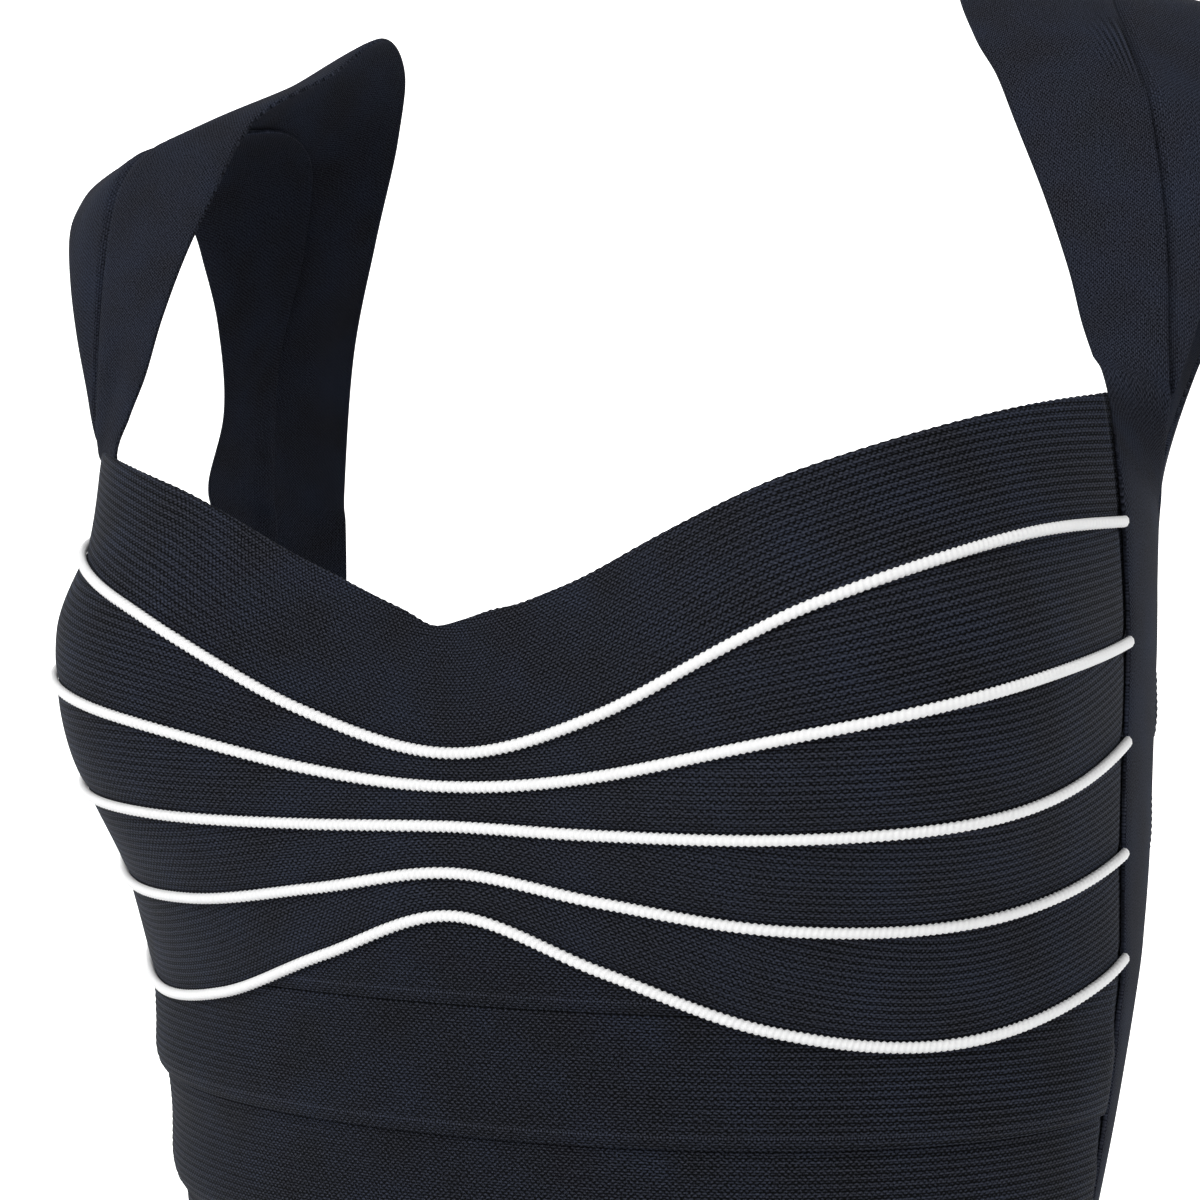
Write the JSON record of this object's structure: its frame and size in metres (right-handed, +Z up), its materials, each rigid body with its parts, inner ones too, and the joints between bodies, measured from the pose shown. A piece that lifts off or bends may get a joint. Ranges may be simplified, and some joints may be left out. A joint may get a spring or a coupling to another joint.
{
  "type": "bodycon dress",
  "caption": "Worn, hollow bodycon dress of level knitted bands, with curved bust bands edged in white piping, a sweetheart neck and wide shoulder straps.",
  "frame": {"origin": "midway between the wearer's shoulders, level with the top of the shoulder straps", "axes": "+Z up along the wearer's height, -Y towards the wearer's front, +X towards the wearer's left"},
  "size_m": [0.3386, 0.2377, 0.8169],
  "materials": {
    "dark_knit": "matt fine ribbed knit, nearly black navy",
    "white_piping": "matt white knitted piping"
  },
  "bodies": {
    "root": {"front_neck_band": "dark_knit", "front_bust_band_1": "dark_knit", "front_bust_band_2": "dark_knit", "front_bust_band_3": "dark_knit", "front_bust_band_4": "dark_knit", "front_underbust_crescent": "dark_knit", "front_band_01": "dark_knit", "front_band_02": "dark_knit", "front_band_03": "dark_knit", "front_band_04": "dark_knit", "front_band_05": "dark_knit", "front_band_06": "dark_knit", "front_band_07": "dark_knit", "front_band_08": "dark_knit", "front_band_09": "dark_knit", "front_band_10": "dark_knit", "front_band_11": "dark_knit", "front_band_12": "dark_knit", "front_band_13": "dark_knit", "front_band_14": "dark_knit", "front_band_15": "dark_knit", "front_band_16": "dark_knit", "front_band_17": "dark_knit", "front_band_18": "dark_knit", "front_band_19": "dark_knit", "back_band_01": "dark_knit", "back_band_02": "dark_knit", "back_band_03": "dark_knit", "back_band_04": "dark_knit", "back_band_05": "dark_knit", "back_band_06": "dark_knit", "back_band_07": "dark_knit", "back_band_08": "dark_knit", "back_band_09": "dark_knit", "back_band_10": "dark_knit", "back_band_11": "dark_knit", "back_band_12": "dark_knit", "back_band_13": "dark_knit", "back_band_14": "dark_knit", "back_band_15": "dark_knit", "back_band_16": "dark_knit", "back_band_17": "dark_knit", "back_band_18": "dark_knit", "back_band_19": "dark_knit", "back_band_20": "dark_knit", "back_band_21": "dark_knit", "back_band_22": "dark_knit", "piping_1": "white_piping", "piping_2": "white_piping", "piping_3": "white_piping", "piping_4": "white_piping", "piping_5": "white_piping", "side_strap_strip_left": "dark_knit", "side_strap_strip_right": "dark_knit", "armhole_strip_left": "dark_knit", "armhole_strip_right": "dark_knit"}
  },
  "joints": []
}
